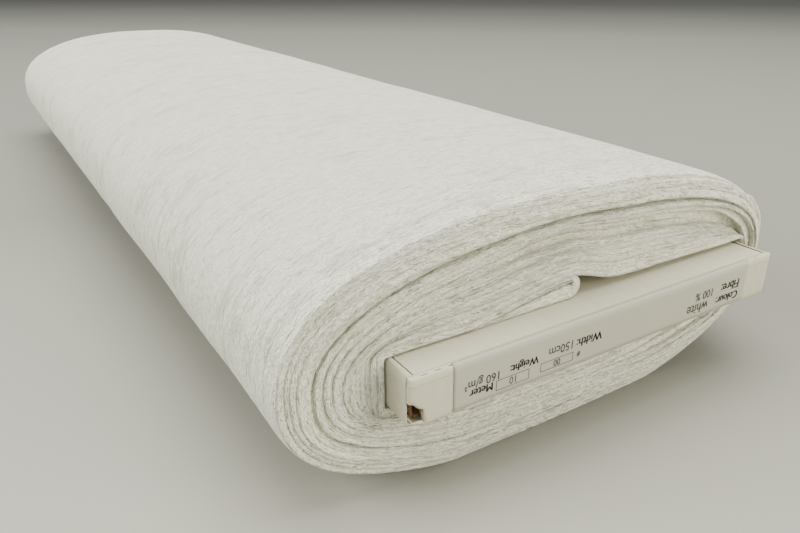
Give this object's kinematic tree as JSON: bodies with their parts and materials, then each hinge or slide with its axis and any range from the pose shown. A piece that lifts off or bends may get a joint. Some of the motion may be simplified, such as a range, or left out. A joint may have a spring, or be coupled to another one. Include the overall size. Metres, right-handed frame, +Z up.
{
  "type": "fabric bolt",
  "caption": "Long flat bolt of doubled crushed velvet wound on a hollow folded-card board whose ends stand out and close with hinged flaps.",
  "frame": {"origin": "under the middle of the bolt, on the surface that it lies on", "axes": "+X across the board, +Y along the bolt away from the labelled end, +Z up"},
  "size_m": [0.271, 0.7804, 0.111],
  "materials": {
    "velvet": "white crushed velvet, satin pile in patches",
    "card": "white-lined corrugated card, matt",
    "label": "plain printed paper, matt"
  },
  "bodies": {
    "wound_cloth": {"cloth_roll": "velvet", "cloth_inner_end": "velvet"},
    "free_end": {"cloth_free_end": "velvet"},
    "board": {"board_top_panel": "card", "board_bottom_panel_left": "card", "board_bottom_panel_right": "card", "board_side_wall_left": "card", "board_side_wall_right": "card", "board_rib_left": "card", "board_rib_right": "card"},
    "near_end_flap": {"near_end_flap": "card", "end_label": "label"},
    "near_tuck_flap": {"near_tuck_flap": "card"},
    "near_dust_flap_left": {"near_dust_flap_left": "card"},
    "near_dust_flap_right": {"near_dust_flap_right": "card"},
    "far_end_flap": {"far_end_flap": "card"},
    "far_tuck_flap": {"far_tuck_flap": "card"},
    "far_dust_flap_left": {"far_dust_flap_left": "card"},
    "far_dust_flap_right": {"far_dust_flap_right": "card"}
  },
  "joints": [
    {"name": "board_slide", "type": "slide", "parent": "wound_cloth", "child": "board", "axis": [0, -1, 0], "range_m": [-0.7, 0.7]},
    {"name": "free_end_peel", "type": "hinge", "parent": "wound_cloth", "child": "free_end", "pos_m": [0.1266, 0.00022, 0.03127], "axis": [0, 1, 0], "range_deg": [0, 60]},
    {"name": "near_end_crease", "type": "hinge", "parent": "board", "child": "near_end_flap", "pos_m": [0.012, -0.38977, 0.06], "axis": [-1, 0, 0], "range_deg": [0, 80]},
    {"name": "near_tuck_crease", "type": "hinge", "parent": "near_end_flap", "child": "near_tuck_flap", "pos_m": [0.012, -0.38677, 0.0458], "axis": [1, 0, 0], "range_deg": [0, 80]},
    {"name": "near_dust_crease_left", "type": "hinge", "parent": "board", "child": "near_dust_flap_left", "pos_m": [-0.0897, -0.38348, 0.0495], "axis": [0, 0, 1], "range_deg": [0, 80]},
    {"name": "near_dust_crease_right", "type": "hinge", "parent": "board", "child": "near_dust_flap_right", "pos_m": [0.1137, -0.38348, 0.0495], "axis": [0, 0, -1], "range_deg": [0, 80]},
    {"name": "far_end_crease", "type": "hinge", "parent": "board", "child": "far_end_flap", "pos_m": [0.012, 0.39022, 0.06], "axis": [-1, 0, 0], "range_deg": [-80, 0]},
    {"name": "far_tuck_crease", "type": "hinge", "parent": "far_end_flap", "child": "far_tuck_flap", "pos_m": [0.012, 0.38722, 0.0458], "axis": [1, 0, 0], "range_deg": [-80, 0]},
    {"name": "far_dust_crease_left", "type": "hinge", "parent": "board", "child": "far_dust_flap_left", "pos_m": [-0.0897, 0.38393, 0.0495], "axis": [0, 0, 1], "range_deg": [-80, 0]},
    {"name": "far_dust_crease_right", "type": "hinge", "parent": "board", "child": "far_dust_flap_right", "pos_m": [0.1137, 0.38393, 0.0495], "axis": [0, 0, -1], "range_deg": [-80, 0]}
  ],
  "couplings": [
    {"joint": "near_tuck_crease", "follows": "near_end_crease", "ratio": 1},
    {"joint": "far_tuck_crease", "follows": "far_end_crease", "ratio": 1}
  ]
}
